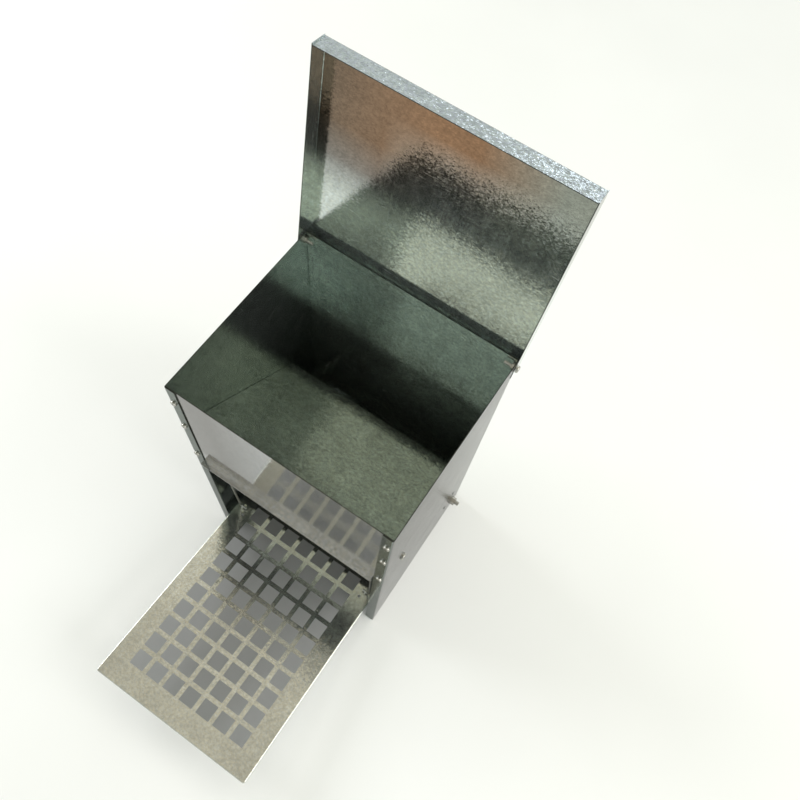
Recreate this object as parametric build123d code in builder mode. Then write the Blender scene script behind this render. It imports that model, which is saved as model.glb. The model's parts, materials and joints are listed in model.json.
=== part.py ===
from build123d import *
import math
import os

os.makedirs("parts", exist_ok=True)

# Treadle feeder of folded galvanised sheet: a hopper with a hinged lid, a trough behind a
# flap, and a perforated treadle whose two link rods swing the flap open.
# Millimetres and degrees.  -Y is the front, where a bird steps on the treadle, +X is to the
# right seen from the front, and +Z is up.  The origin is on the floor, in the middle of the
# whole footprint.

# ---- driving dimensions ----------------------------------------------------------------
sheet = 0.8
body_width = 260.0
body_depth = 224.0
body_height = 437.0
flange_width = 12.0
bend_outer = 1.6
bend_inner = bend_outer - sheet
panel_play = 0.4
corner_relief = 4.0
hole_play = 0.2
same_place = 0.1
running_play = 0.05
side_play = 0.3

lid_open_angle = 99.0
lid_width = 264.0
lid_length = 227.5
lid_depth = 19.4
lid_overhang = 8.8
lid_lip_depth = 3.4
lid_lip_cut = 3.2
lid_cheek_beyond = 1.2
hinge_bolt_radius = 2.0
hinge_from_back = 6.2
hinge_below_rim = 8.0
hinge_to_lid = 10.6

front_opening_height = 258.0
front_lip_reach = 6.3
front_lip_clearance = 1.0
front_screw_heights = (269.0, 350.0, 407.0)
front_screw_inset = 5.2
back_weld_heights = (40.0, 115.0, 190.0, 265.0, 340.0, 415.0)
slope_weld_places = (0.25, 0.75)
weld_radius = 2.5
back_flange = 12.0

slope_top_height = 345.0
slope_foot_height = 206.5
slope_foot_from_middle = 66.5
slope_tab = 12.0

trough_floor_height = 62.0
trough_lip_height = 112.0
trough_lip_from_middle = -79.6
trough_bend_from_middle = 63.0
trough_ramp_angle = 43.0
trough_tab = 12.0
trough_rivet_spots = ((61.0, 68.0), (80.0, 86.0))

treadle_width = 230.0
treadle_length = 468.0
treadle_reach = 252.6
treadle_front_height = 74.0
treadle_tilt = 6.65
treadle_flange = 6.0
treadle_corner = 3.0
square_size = 20.0
square_pitch = 26.1
square_columns = 7
square_rows = 10
first_row_from_edge = 39.5
spare_hole_x = 99.0
spare_hole_from_edge = 263.8
spare_hole_radius = 2.0

treadle_pivot_from_middle = 87.0
treadle_pivot_height = 36.0
pivot_rod_radius = 3.0
pivot_rod_overhang = 12.2
treadle_travel = 7.5

flap_pivot_from_middle = -69.5
flap_pivot_height = 237.0
flap_width = 234.0
flap_foot_height = 100.0
flap_head_height = 262.0
flap_forward = 8.5
flap_hem = 7.0
flap_travel = 45.0
spring_arm = 25.0

link_wire_radius = 1.5
link_rod_x = 109.0
link_lug_x = 104.0
link_lug_rise = 6.0
link_eye_from_middle = -93.5
link_hook_length = 10.0
link_hook_past_flap = 3.3
link_bend_radius = 4.0
link_arm_hole_radius = 2.9
link_rest_offset = 0.98

spring_x = 124.2
spring_anchor_height = 90.0
spring_wire_radius = 0.6
spring_stem_radius = 0.5
spring_coil_radius = 3.0
spring_loop_radius = 3.3
spring_pin_radius = 2.0

bolt_radius = 2.5
small_screw_radius = 2.0

# ---- places worked out from them -------------------------------------------------------
open_cos = math.cos(math.radians(lid_open_angle))
open_sin = math.sin(math.radians(lid_open_angle))
tilt_cos = math.cos(math.radians(treadle_tilt))
tilt_sin = math.sin(math.radians(treadle_tilt))

half_width = body_width / 2
hinge_from_middle = body_depth / 2 - hinge_from_back
lid_outer = hinge_to_lid + sheet
reach_back = hinge_from_middle - lid_length * open_cos + lid_outer * open_sin
reach_front = body_depth / 2 + treadle_reach + treadle_flange * tilt_sin
middle_y = (reach_front - reach_back) / 2
front_y = middle_y - body_depth / 2
back_y = middle_y + body_depth / 2

hinge_y = middle_y + hinge_from_middle
hinge_z = body_height - hinge_below_rim
flap_y = middle_y + flap_pivot_from_middle
flap_z = flap_pivot_height
pivot_y = middle_y + treadle_pivot_from_middle
pivot_z = treadle_pivot_height

inner_half = half_width - sheet
panel_half = inner_half - panel_play
front_inner_y = front_y + 2 * sheet + panel_play
back_inner_y = back_y - 2 * sheet - panel_play

lid_plane = Plane(origin=(0, hinge_y, hinge_z), x_dir=(1, 0, 0), z_dir=(0, -open_sin, -open_cos))
treadle_front_y = front_y - treadle_reach
treadle_plane = Plane(
    origin=(0, treadle_front_y, treadle_front_height),
    x_dir=(1, 0, 0),
    z_dir=(0, tilt_sin, tilt_cos),
)

link_eye_y = middle_y + link_eye_from_middle
link_eye_z = treadle_front_height - (link_eye_y - treadle_front_y) * tilt_sin / tilt_cos + link_lug_rise
pivot_over_tread = pivot_z - treadle_front_height + (pivot_y - treadle_front_y) * tilt_sin / tilt_cos
pivot_height_over_tread = pivot_over_tread * tilt_cos
eye_arm = pivot_y - link_eye_y
eye_drop = eye_arm * math.sin(math.radians(treadle_travel))
half_swing = math.radians(flap_travel / 2)
flap_arm = eye_drop / (2 * math.sin(half_swing))
arm_hole_y = flap_y - flap_arm * math.cos(half_swing)
arm_hole_z = flap_z + flap_arm * math.sin(half_swing)
spring_y = flap_y + spring_arm * math.cos(half_swing)
spring_top_z = flap_z - spring_arm * math.sin(half_swing)
ear_x = flap_width / 2

both_sides = ((-1, "left"), (1, "right"))


def outward(side):
    """The axis that points out of the body on one side."""
    return Axis((0, 0, 0), (side, 0, 0))


def tread_point(from_edge, height):
    """The (Y, Z) place that far back along the treadle and that high over its top face."""
    point = treadle_plane.from_local_coords((0, from_edge, height))
    return (point.Y, point.Z)


# ---- hopper body -----------------------------------------------------------------------
for side, word in both_sides:
    with BuildPart() as side_panel:
        with BuildSketch(Plane.XY):
            with Locations((side * (half_width - flange_width / 2), middle_y)):
                Rectangle(flange_width, body_depth)
            with Locations((side * (inner_half - flange_width / 2), middle_y)):
                Rectangle(flange_width, body_depth - 2 * sheet, mode=Mode.SUBTRACT)
        extrude(amount=body_height)
        folds = side_panel.edges().filter_by(Axis.Z).group_by(outward(side))
        fillet(folds[-1], bend_outer)
        inner_folds = [
            edge
            for edge in side_panel.edges().filter_by(Axis.Z)
            if abs(abs(edge.center().X) - inner_half) < same_place
        ]
        fillet(inner_folds, bend_inner)
        with BuildSketch(Plane.XY):
            with Locations((side * (half_width - flange_width / 2), middle_y)):
                Rectangle(flange_width, body_depth - 2 * corner_relief)
        extrude(amount=sheet)
        with BuildSketch(Plane.YZ.offset(side * half_width)):
            with Locations((hinge_y, hinge_z)):
                Circle(hinge_bolt_radius + hole_play)
            with Locations((flap_y, flap_z)):
                Circle(bolt_radius + hole_play)
            with Locations((pivot_y, pivot_z)):
                Circle(pivot_rod_radius + hole_play)
            with Locations([(middle_y + y, z) for y, z in trough_rivet_spots]):
                Circle(small_screw_radius + hole_play)
        extrude(amount=-side * 2 * sheet, mode=Mode.SUBTRACT)
        with BuildSketch(Plane.XZ.offset(-front_y)):
            with Locations([(side * (half_width - front_screw_inset), z) for z in front_screw_heights]):
                Circle(small_screw_radius + hole_play)
        extrude(amount=-2 * sheet, mode=Mode.SUBTRACT)
    side_panel.part.label = f"{word}_side_panel"
    export_step(side_panel.part, f"parts/{word}_side_panel.step")

with BuildPart() as front_panel:
    with BuildSketch(Plane.XY.offset(front_opening_height)):
        with Locations((0, front_inner_y - sheet / 2)):
            Rectangle(2 * panel_half, sheet)
    extrude(amount=body_height - front_opening_height)
    lip_front_y = front_y - front_lip_reach
    with BuildSketch(Plane.XY.offset(front_opening_height)):
        with Locations((0, (lip_front_y + front_inner_y) / 2)):
            Rectangle(2 * (half_width - flange_width - front_lip_clearance), front_inner_y - lip_front_y)
    extrude(amount=sheet)
    under_fold = front_panel.edges().filter_by(Axis.X).group_by(Axis.Z)[0].sort_by(Axis.Y)[-1]
    fillet(under_fold, bend_inner)
    with BuildSketch(Plane.XZ.offset(-front_inner_y)):
        for side, word in both_sides:
            with Locations([(side * (half_width - front_screw_inset), z) for z in front_screw_heights]):
                Circle(small_screw_radius + hole_play)
    extrude(amount=2 * sheet, mode=Mode.SUBTRACT)
front_panel.part.label = "front_panel"
export_step(front_panel.part, "parts/front_panel.step")

with BuildPart() as back_panel:
    with BuildSketch(Plane.XY):
        with Locations((0, back_inner_y + sheet / 2)):
            Rectangle(2 * panel_half, sheet)
    extrude(amount=body_height)
    with BuildSketch(Plane.XY):
        with Locations((0, back_inner_y + sheet - back_flange / 2)):
            Rectangle(2 * (half_width - flange_width - corner_relief), back_flange)
    extrude(amount=sheet)
back_panel.part.label = "back_panel"
export_step(back_panel.part, "parts/back_panel.step")

# The slope panel is one bent strip: a flange spot-welded to the front panel, the slope that
# the feed slides down, and a short foot that hangs over the throat.
slope_head_y = front_inner_y
slope_foot_y = middle_y + slope_foot_from_middle
slope_rise = slope_top_height - slope_foot_height
slope_run = slope_foot_y - slope_head_y
with BuildPart() as slope_panel:
    with BuildSketch(Plane.YZ.offset(-panel_half)):
        with BuildLine():
            Polyline(
                (slope_head_y, slope_top_height + slope_tab),
                (slope_head_y + sheet, slope_top_height + slope_tab),
                (slope_head_y + sheet, slope_top_height),
                (slope_foot_y, slope_foot_height),
                (slope_foot_y, slope_foot_height - slope_tab),
                (slope_foot_y - sheet, slope_foot_height - slope_tab),
                (slope_foot_y - sheet, slope_foot_height - sheet / 2),
                (slope_head_y, slope_top_height - sheet / 2),
                close=True,
            )
        make_face()
    extrude(amount=2 * panel_half)
    tab_head_z = slope_top_height - slope_tab * slope_rise / slope_run
    tab_foot_z = slope_foot_height + slope_tab * slope_rise / slope_run
    for side, word in both_sides:
        with BuildSketch(Plane.YZ.offset(side * (panel_half - sheet / 2))):
            with BuildLine():
                Polyline(
                    (slope_head_y + slope_tab, tab_head_z - sheet),
                    (slope_foot_y - slope_tab, tab_foot_z - sheet),
                    (slope_foot_y - slope_tab, tab_foot_z - slope_tab),
                    (slope_head_y + slope_tab, tab_head_z - slope_tab),
                    close=True,
                )
            make_face()
        extrude(amount=sheet / 2, both=True)
    with BuildSketch(Plane.XZ.offset(-front_inner_y)):
        for side, word in both_sides:
            with Locations((side * (half_width - front_screw_inset), front_screw_heights[1])):
                Circle(small_screw_radius + hole_play)
    extrude(amount=-2 * sheet, mode=Mode.SUBTRACT)
slope_panel.part.label = "slope_panel"
export_step(slope_panel.part, "parts/slope_panel.step")

# The trough is a bent floor with a front lip, a ramp up to the back panel, where a tab folds
# down behind the ramp, and riveted side tabs.
lip_y = middle_y + trough_lip_from_middle
ramp_y = middle_y + trough_bend_from_middle
ramp_run = back_inner_y - ramp_y
ramp_slope = math.tan(math.radians(trough_ramp_angle))
ramp_rise = ramp_run * ramp_slope
ramp_top_z = trough_floor_height + ramp_rise
with BuildPart() as feed_trough:
    with BuildSketch(Plane.YZ.offset(-panel_half)):
        with BuildLine():
            Polyline(
                (lip_y, trough_floor_height - sheet),
                (ramp_y, trough_floor_height - sheet),
                (back_inner_y - sheet, ramp_top_z - sheet - sheet * ramp_slope),
                (back_inner_y - sheet, ramp_top_z - trough_tab),
                (back_inner_y, ramp_top_z - trough_tab),
                (back_inner_y, ramp_top_z),
                (ramp_y, trough_floor_height),
                (lip_y + sheet, trough_floor_height),
                (lip_y + sheet, trough_lip_height),
                (lip_y, trough_lip_height),
                close=True,
            )
        make_face()
    extrude(amount=2 * panel_half)
    for side, word in both_sides:
        with BuildSketch(Plane.YZ.offset(side * (panel_half - sheet / 2))):
            with BuildLine():
                Polyline(
                    (lip_y + sheet, trough_floor_height - sheet),
                    (ramp_y, trough_floor_height - sheet),
                    (back_inner_y - sheet, ramp_top_z - sheet),
                    (back_inner_y - sheet, ramp_top_z + trough_tab),
                    (ramp_y, trough_floor_height + trough_tab),
                    (spring_y + trough_tab / 2, trough_floor_height + trough_tab),
                    (spring_y + trough_tab / 2, spring_anchor_height + trough_tab / 2),
                    (spring_y - trough_tab / 2, spring_anchor_height + trough_tab / 2),
                    (spring_y - trough_tab / 2, trough_floor_height + trough_tab),
                    (lip_y + sheet, trough_floor_height + trough_tab),
                    close=True,
                )
            make_face()
        extrude(amount=sheet / 2, both=True)
    with BuildSketch(Plane.YZ.offset(-half_width)):
        with Locations([(middle_y + y, z) for y, z in trough_rivet_spots]):
            Circle(small_screw_radius + hole_play)
    extrude(amount=body_width, mode=Mode.SUBTRACT)
feed_trough.part.label = "feed_trough"
export_step(feed_trough.part, "parts/feed_trough.step")

# ---- lid -------------------------------------------------------------------------------
# A folded pan: its side flanges run a little past its front flange, and its back edge is
# only a low lip, which clears the body as the lid swings.
with BuildPart() as lid:
    with BuildSketch(lid_plane.offset(-lid_outer)):
        with Locations((0, (lid_length - lid_overhang) / 2)):
            Rectangle(lid_width, lid_length + lid_overhang)
    extrude(amount=lid_depth)
    with BuildSketch(lid_plane.offset(-hinge_to_lid)):
        with Locations((0, (lid_length - lid_overhang) / 2)):
            Rectangle(lid_width - 2 * sheet, lid_length + lid_overhang - 2 * sheet)
    extrude(amount=lid_depth, mode=Mode.SUBTRACT)
    with BuildSketch(lid_plane.offset(lid_lip_depth - lid_outer)):
        with Locations((0, -lid_overhang)):
            Rectangle(lid_width - 2 * sheet, lid_lip_cut)
    extrude(amount=lid_depth, mode=Mode.SUBTRACT)
    top_face = lid.faces().sort_by(Axis(lid_plane.origin, lid_plane.z_dir))[0]
    fillet(top_face.edges(), bend_outer)
    with BuildSketch(lid_plane.offset(bend_outer - lid_outer)):
        for side, word in both_sides:
            with Locations((side * (lid_width - sheet) / 2, lid_length)):
                Rectangle(sheet, 2 * lid_cheek_beyond)
    extrude(amount=lid_depth - bend_outer)
    with BuildSketch(Plane.YZ.offset(-lid_width)):
        with Locations((hinge_y, hinge_z)):
            Circle(hinge_bolt_radius + running_play)
    extrude(amount=2 * lid_width, mode=Mode.SUBTRACT)
lid.part.label = "lid"
export_step(lid.part, "parts/lid.step")

# ---- treadle ---------------------------------------------------------------------------
with BuildPart() as treadle_plate:
    with BuildSketch(treadle_plane):
        with Locations((0, treadle_length / 2)):
            Rectangle(treadle_width, treadle_length)
    extrude(amount=-treadle_flange)
    corners = treadle_plate.edges().filter_by(Axis(treadle_plane.origin, treadle_plane.z_dir))
    fillet(corners.group_by(Axis.Y)[0], treadle_corner)
    tread_face = treadle_plate.faces().sort_by(Axis(treadle_plane.origin, treadle_plane.z_dir))[-1]
    fillet(tread_face.edges().sort_by(Axis.Y)[:-1], bend_outer)
    with BuildSketch(treadle_plane.offset(-sheet)):
        with Locations((0, (treadle_length + treadle_flange) / 2)):
            Rectangle(treadle_width - 2 * sheet, treadle_length + treadle_flange - 2 * sheet)
    extrude(amount=-treadle_flange, mode=Mode.SUBTRACT)
    with BuildSketch(treadle_plane):
        with Locations((0, first_row_from_edge + square_pitch * (square_rows - 1) / 2)):
            with GridLocations(square_pitch, square_pitch, square_columns, square_rows):
                Rectangle(square_size, square_size)
        with Locations((-spare_hole_x, spare_hole_from_edge), (spare_hole_x, spare_hole_from_edge)):
            Circle(spare_hole_radius)
    extrude(amount=-2 * sheet, mode=Mode.SUBTRACT)
treadle_plate.part.label = "treadle_plate"
export_step(treadle_plate.part, "parts/treadle_plate.step")

# Spot-welded on top of the treadle: an ear on each side for the pivot rod, and further
# forward a lug on each side for a link rod.  Both are angles with a foot that points inward.
ear_radius = 8.0
ear_foot_length = 26.0
ear_foot_width = 10.0
ear_from_edge = (pivot_y - treadle_front_y) / tilt_cos - pivot_height_over_tread * tilt_sin
with BuildPart() as treadle_ears:
    for side, word in both_sides:
        with BuildSketch(Plane.YZ.offset(side * (treadle_width / 2 - sheet))):
            with Locations((pivot_y, pivot_z)):
                Circle(ear_radius)
            with Locations(tread_point(ear_from_edge, sheet / 2)):
                Rectangle(ear_foot_length, sheet, rotation=-treadle_tilt)
            make_hull()
            with Locations((pivot_y, pivot_z)):
                Circle(pivot_rod_radius + running_play, mode=Mode.SUBTRACT)
        extrude(amount=side * sheet)
        with BuildSketch(treadle_plane):
            with Locations((side * (treadle_width - ear_foot_width) / 2, ear_from_edge)):
                Rectangle(ear_foot_width, ear_foot_length)
        extrude(amount=sheet)
treadle_ears.part.label = "treadle_ears"
export_step(treadle_ears.part, "parts/treadle_ears.step")

lug_radius = 4.5
lug_foot_length = 12.0
lug_foot_width = 8.0
lug_thickness = 1.2
lug_from_edge = (link_eye_y - treadle_front_y) / tilt_cos - link_lug_rise * tilt_cos * tilt_sin
with BuildPart() as link_lugs:
    for side, word in both_sides:
        with BuildSketch(Plane.YZ.offset(side * (link_lug_x - lug_thickness / 2))):
            with Locations((link_eye_y, link_eye_z)):
                Circle(lug_radius)
            with Locations(tread_point(lug_from_edge, sheet / 2)):
                Rectangle(lug_foot_length, sheet, rotation=-treadle_tilt)
            make_hull()
            with Locations((link_eye_y, link_eye_z)):
                Circle(link_wire_radius + running_play, mode=Mode.SUBTRACT)
        extrude(amount=side * lug_thickness)
        with BuildSketch(treadle_plane):
            with Locations((side * (link_lug_x + (lug_thickness - lug_foot_width) / 2), lug_from_edge)):
                Rectangle(lug_foot_width, lug_foot_length)
        extrude(amount=sheet)
link_lugs.part.label = "link_lugs"
export_step(link_lugs.part, "parts/link_lugs.step")

thread_chamfer = 0.6
washer_thickness = 1.2
pivot_washer_radius = 6.5
pivot_nut_radius = 5.77
pivot_nut_height = 5.0
pivot_nut_turn = 15.0
spacer_radius = 5.0
with BuildPart() as treadle_pivot_rod:
    with BuildSketch(Plane.YZ):
        with Locations((pivot_y, pivot_z)):
            Circle(pivot_rod_radius)
    extrude(amount=half_width + pivot_rod_overhang, both=True)
    chamfer(treadle_pivot_rod.edges().filter_by(GeomType.CIRCLE), thread_chamfer)
treadle_pivot_rod.part.label = "treadle_pivot_rod"
export_step(treadle_pivot_rod.part, "parts/treadle_pivot_rod.step")

with BuildPart() as treadle_pivot_washers:
    for side, word in both_sides:
        with BuildSketch(Plane.YZ.offset(side * half_width)):
            with Locations((pivot_y, pivot_z)):
                Circle(pivot_washer_radius)
                Circle(pivot_rod_radius + hole_play, mode=Mode.SUBTRACT)
        extrude(amount=side * washer_thickness)
treadle_pivot_washers.part.label = "treadle_pivot_washers"
export_step(treadle_pivot_washers.part, "parts/treadle_pivot_washers.step")

ear_inner_x = treadle_width / 2 - sheet
with BuildPart() as treadle_pivot_nuts:
    for side, word in both_sides:
        for nut_x in (half_width + washer_thickness, ear_inner_x - side_play - pivot_nut_height):
            with BuildSketch(Plane.YZ.offset(side * nut_x)):
                with Locations((pivot_y, pivot_z)):
                    RegularPolygon(pivot_nut_radius, 6, rotation=pivot_nut_turn)
                    Circle(pivot_rod_radius + hole_play / 2, mode=Mode.SUBTRACT)
            extrude(amount=side * pivot_nut_height)
treadle_pivot_nuts.part.label = "treadle_pivot_nuts"
export_step(treadle_pivot_nuts.part, "parts/treadle_pivot_nuts.step")

with BuildPart() as treadle_pivot_spacers:
    for side, word in both_sides:
        with BuildSketch(Plane.YZ.offset(side * (treadle_width / 2 + side_play))):
            with Locations((pivot_y, pivot_z)):
                Circle(spacer_radius)
                Circle(pivot_rod_radius + hole_play, mode=Mode.SUBTRACT)
        extrude(amount=side * (inner_half - treadle_width / 2 - side_play))
treadle_pivot_spacers.part.label = "treadle_pivot_spacers"
export_step(treadle_pivot_spacers.part, "parts/treadle_pivot_spacers.step")

# ---- flap that covers the trough -------------------------------------------------------
flap_face_y = flap_y - flap_forward
hub_radius = 9.0
arm_end_radius = 6.5
spring_ear_radius = 5.5
with BuildPart() as feed_flap:
    with BuildSketch(Plane.YZ.offset(-ear_x)):
        with BuildLine():
            Polyline(
                (flap_face_y + flap_hem, flap_foot_height),
                (flap_face_y, flap_foot_height),
                (flap_face_y, flap_head_height),
                (flap_face_y + flap_hem, flap_head_height),
                (flap_face_y + flap_hem, flap_head_height - sheet),
                (flap_face_y + sheet, flap_head_height - sheet),
                (flap_face_y + sheet, flap_foot_height + sheet),
                (flap_face_y + flap_hem, flap_foot_height + sheet),
                close=True,
            )
        make_face()
    extrude(amount=flap_width)
    for side, word in both_sides:
        ear_plane = Plane.YZ.offset(side * (ear_x - sheet / 2))
        with BuildSketch(ear_plane):
            with Locations((flap_y, flap_z)):
                Circle(hub_radius)
            with Locations((arm_hole_y, arm_hole_z)):
                Circle(arm_end_radius)
            make_hull()
        extrude(amount=sheet / 2, both=True)
        with BuildSketch(ear_plane):
            with Locations((flap_y, flap_z)):
                Circle(hub_radius)
            with Locations((spring_y, spring_top_z)):
                Circle(spring_ear_radius)
            make_hull()
        extrude(amount=sheet / 2, both=True)
        with BuildSketch(Plane.YZ.offset(side * (ear_x + sheet))):
            with Locations((flap_y, flap_z)):
                Circle(bolt_radius + running_play)
            with Locations((arm_hole_y, arm_hole_z)):
                Circle(link_arm_hole_radius)
            with Locations((spring_y, spring_top_z)):
                Circle(spring_pin_radius + hole_play)
        extrude(amount=-side * 3 * sheet, mode=Mode.SUBTRACT)
feed_flap.part.label = "feed_flap"
export_step(feed_flap.part, "parts/feed_flap.step")

# The heads of the flap's two screws are seen outside; inside each has a spacer and a nut.
head_radius = 4.6
head_height = 2.6
head_round = 1.4
cross_length = 4.8
front_cross_length = 3.8
cross_width = 1.0
cross_depth = 1.5
small_nut_radius = 4.62
small_nut_height = 4.0
thread_end = 1.0
with BuildPart() as flap_pivot_screws:
    for side, word in both_sides:
        with BuildSketch(Plane.YZ.offset(side * half_width)):
            with Locations((flap_y, flap_z)):
                Circle(head_radius)
        extrude(amount=side * head_height)
        with BuildSketch(Plane.YZ.offset(side * half_width)):
            with Locations((flap_y, flap_z)):
                Circle(bolt_radius)
        extrude(amount=-side * (half_width - ear_x + sheet + side_play + small_nut_height + thread_end))
    outer_rims = flap_pivot_screws.edges().filter_by(GeomType.CIRCLE).group_by(Axis.X)
    fillet(outer_rims[0] + outer_rims[-1], head_round)
    for side, word in both_sides:
        with BuildSketch(Plane.YZ.offset(side * (half_width + head_height))):
            with Locations((flap_y, flap_z)):
                Rectangle(cross_length, cross_width)
                Rectangle(cross_width, cross_length)
        extrude(amount=-side * cross_depth, mode=Mode.SUBTRACT)
flap_pivot_screws.part.label = "flap_pivot_screws"
export_step(flap_pivot_screws.part, "parts/flap_pivot_screws.step")

with BuildPart() as flap_pivot_spacers:
    for side, word in both_sides:
        with BuildSketch(Plane.YZ.offset(side * (ear_x + side_play))):
            with Locations((flap_y, flap_z)):
                Circle(spacer_radius - side_play)
                Circle(bolt_radius + hole_play, mode=Mode.SUBTRACT)
        extrude(amount=side * (inner_half - ear_x - side_play))
flap_pivot_spacers.part.label = "flap_pivot_spacers"
export_step(flap_pivot_spacers.part, "parts/flap_pivot_spacers.step")

with BuildPart() as flap_pivot_nuts:
    for side, word in both_sides:
        with BuildSketch(Plane.YZ.offset(side * (ear_x - sheet - side_play))):
            with Locations((flap_y, flap_z)):
                RegularPolygon(small_nut_radius, 6)
                Circle(bolt_radius + hole_play / 2, mode=Mode.SUBTRACT)
        extrude(amount=-side * small_nut_height)
flap_pivot_nuts.part.label = "flap_pivot_nuts"
export_step(flap_pivot_nuts.part, "parts/flap_pivot_nuts.step")

# ---- link rods: bent wire from the treadle's lugs up to the flap's arms -----------------
rod_top_y = arm_hole_y - link_rest_offset
rod_top_z = arm_hole_z
for side, word in both_sides:
    with BuildPart() as link_rod:
        with BuildLine() as rod_line:
            FilletPolyline(
                (side * (link_lug_x - link_hook_length / 2), link_eye_y, link_eye_z),
                (side * link_rod_x, link_eye_y, link_eye_z),
                (side * link_rod_x, rod_top_y, rod_top_z),
                (side * (ear_x + link_hook_past_flap), rod_top_y, rod_top_z),
                radius=link_bend_radius,
            )
        with BuildSketch(Plane(origin=rod_line.line @ 0, z_dir=rod_line.line % 0)):
            Circle(link_wire_radius)
        sweep()
    link_rod.part.label = f"link_rod_{word}"
    export_step(link_rod.part, f"parts/link_rod_{word}.step")

# ---- extension springs that close the flap and lift the treadle -------------------------
# Each spring's closed coil is one tube of the wire's thickness, with a stem and a loop at each end.
spring_head_z = spring_top_z - spring_loop_radius - spring_coil_radius
spring_foot_z = spring_anchor_height + spring_loop_radius + spring_coil_radius
for side, word in both_sides:
    with BuildPart() as return_spring:
        with BuildSketch(Plane.XZ.offset(-spring_y)):
            with Locations((side * spring_x + spring_coil_radius, (spring_head_z + spring_foot_z) / 2)):
                Rectangle(2 * spring_wire_radius, spring_head_z - spring_foot_z)
        revolve(axis=Axis((side * spring_x, spring_y, 0), (0, 0, 1)))
        for loop_z, end_z in ((spring_top_z, spring_head_z), (spring_anchor_height, spring_foot_z)):
            with BuildSketch(Plane.XZ.offset(-spring_y)):
                with Locations((side * spring_x, loop_z + spring_loop_radius)):
                    Circle(spring_wire_radius)
            revolve(axis=Axis((side * spring_x, spring_y, loop_z), (1, 0, 0)))
            with BuildSketch(Plane.XY.offset(end_z)):
                with Locations((side * spring_x, spring_y)):
                    Circle(spring_coil_radius)
            extrude(amount=math.copysign(2 * spring_wire_radius, end_z - loop_z))
            with BuildSketch(Plane.XY.offset(end_z)):
                with Locations((side * spring_x, spring_y)):
                    Circle(spring_stem_radius)
            extrude(amount=loop_z - end_z + math.copysign(spring_loop_radius, end_z - loop_z))
    return_spring.part.label = f"return_spring_{word}"
    export_step(return_spring.part, f"parts/return_spring_{word}.step")

# ---- pins the springs hook on ----------------------------------------------------------
pin_end_x = inner_half - panel_play - sheet
pin_head_radius = 2 * spring_pin_radius
with BuildPart() as flap_spring_pins:
    for side, word in both_sides:
        with BuildSketch(Plane.YZ.offset(side * (ear_x - 2 * sheet))):
            with Locations((spring_y, spring_top_z)):
                Circle(spring_pin_radius)
        extrude(amount=side * (pin_end_x - ear_x + sheet))
        with BuildSketch(Plane.YZ.offset(side * (ear_x - sheet))):
            with Locations((spring_y, spring_top_z)):
                Circle(pin_head_radius)
        extrude(amount=-side * sheet)
flap_spring_pins.part.label = "flap_spring_pins"
export_step(flap_spring_pins.part, "parts/flap_spring_pins.step")

with BuildPart() as spring_anchor_pins:
    for side, word in both_sides:
        with BuildSketch(Plane.YZ.offset(side * (panel_half - sheet))):
            with Locations((spring_y, spring_anchor_height)):
                Circle(spring_pin_radius)
        extrude(amount=-side * 2 * spring_loop_radius)
spring_anchor_pins.part.label = "spring_anchor_pins"
export_step(spring_anchor_pins.part, "parts/spring_anchor_pins.step")

# ---- lid hinge: a bolt, a washer and a nut on each side --------------------------------
hinge_head_radius = 4.0
hinge_washer_thickness = 0.9
hinge_washer_radius = 5.0
hinge_nut_radius = 4.04
hinge_nut_height = 3.2
hinge_thread_beyond_nut = 8.0
hinge_nut_turn = 30.0
lid_outer_x = lid_width / 2 + side_play
with BuildPart() as lid_hinge_bolts:
    for side, word in both_sides:
        with BuildSketch(Plane.YZ.offset(side * lid_outer_x)):
            with Locations((hinge_y, hinge_z)):
                Circle(hinge_head_radius)
        extrude(amount=side * head_height)
        with BuildSketch(Plane.YZ.offset(side * lid_outer_x)):
            with Locations((hinge_y, hinge_z)):
                Circle(hinge_bolt_radius)
        extrude(amount=-side * (lid_outer_x - inner_half + hinge_nut_height + hinge_thread_beyond_nut))
    outer_rims = lid_hinge_bolts.edges().filter_by(GeomType.CIRCLE).group_by(Axis.X)
    fillet(outer_rims[0] + outer_rims[-1], head_round)
    for side, word in both_sides:
        with BuildSketch(Plane.YZ.offset(side * (lid_outer_x + head_height))):
            with Locations((hinge_y, hinge_z)):
                Rectangle(front_cross_length, cross_width)
                Rectangle(cross_width, front_cross_length)
        extrude(amount=-side * cross_depth, mode=Mode.SUBTRACT)
lid_hinge_bolts.part.label = "lid_hinge_bolts"
export_step(lid_hinge_bolts.part, "parts/lid_hinge_bolts.step")

with BuildPart() as lid_hinge_washers:
    for side, word in both_sides:
        with BuildSketch(Plane.YZ.offset(side * half_width)):
            with Locations((hinge_y, hinge_z)):
                Circle(hinge_washer_radius)
                Circle(hinge_bolt_radius + hole_play, mode=Mode.SUBTRACT)
        extrude(amount=side * hinge_washer_thickness)
lid_hinge_washers.part.label = "lid_hinge_washers"
export_step(lid_hinge_washers.part, "parts/lid_hinge_washers.step")

with BuildPart() as lid_hinge_nuts:
    for side, word in both_sides:
        with BuildSketch(Plane.YZ.offset(side * inner_half)):
            with Locations((hinge_y, hinge_z)):
                RegularPolygon(hinge_nut_radius, 6, rotation=hinge_nut_turn)
                Circle(hinge_bolt_radius + hole_play / 2, mode=Mode.SUBTRACT)
        extrude(amount=-side * hinge_nut_height)
lid_hinge_nuts.part.label = "lid_hinge_nuts"
export_step(lid_hinge_nuts.part, "parts/lid_hinge_nuts.step")

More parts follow.
